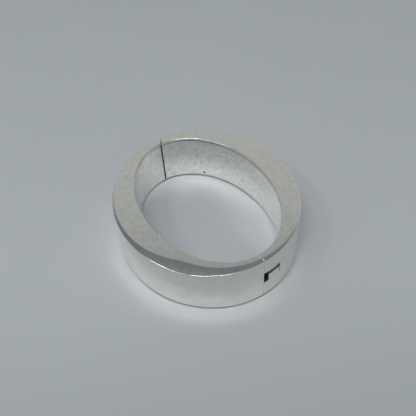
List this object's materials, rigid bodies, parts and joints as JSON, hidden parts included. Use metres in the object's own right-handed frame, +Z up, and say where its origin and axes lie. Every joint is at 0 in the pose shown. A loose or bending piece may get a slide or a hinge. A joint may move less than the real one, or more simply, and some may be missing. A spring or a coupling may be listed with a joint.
{
  "type": "bangle bracelet",
  "caption": "Hinged hollow oval bangle bracelet with flat edges, a bevelled top rim, a tube hinge and a tongue clasp released by a thumb tab.",
  "frame": {"origin": "centre of the bracelet's outline, on the surface that it stands on", "axes": "+X towards the clasp, -X towards the hinge, +Y across the wrist opening towards the plain half, +Z up along the height of the band"},
  "size_m": [0.069, 0.0634, 0.0194],
  "materials": {
    "outer_wall": "polished sterling silver with fine wear scratches",
    "inner_wall": "worn silver, cloudy from the skin",
    "edge_plate": "satin silver with small pits",
    "end_cap": "filed silver",
    "hinge": "dull silver tube and pin",
    "tongue": "hard silver, dull",
    "clasp_box": "dark tarnished silver",
    "tab": "polished silver"
  },
  "bodies": {
    "front_half": {"front_outer_wall": "outer_wall", "front_inner_wall": "inner_wall", "front_top_plate": "edge_plate", "front_bottom_plate": "edge_plate", "front_hinge_seat": "hinge", "front_clasp_cap": "end_cap", "knuckle_1": "hinge", "knuckle_3": "hinge", "knuckle_5": "hinge", "hinge_pin": "hinge", "tongue_leaf": "tongue"},
    "back_half": {"back_outer_wall": "outer_wall", "back_inner_wall": "inner_wall", "back_top_plate": "edge_plate", "back_bottom_plate": "edge_plate", "back_hinge_seat": "hinge", "back_clasp_cap": "end_cap", "clasp_box": "clasp_box", "knuckle_2": "hinge", "knuckle_4": "hinge"},
    "tongue_spring": {"spring_leaf": "tongue", "thumb_tab": "tab"}
  },
  "joints": [
    {"name": "main_hinge", "type": "hinge", "parent": "front_half", "child": "back_half", "pos_m": [-0.03295, 0, 0.0097], "axis": [0, 0, 1], "range_deg": [0, 75]},
    {"name": "tongue_press", "type": "hinge", "parent": "front_half", "child": "tongue_spring", "pos_m": [0.03173, 0.0074, 0.0099], "axis": [0, 0, -1], "range_deg": [0, 5.5], "stiffness_Nm_per_rad": 0.4}
  ]
}
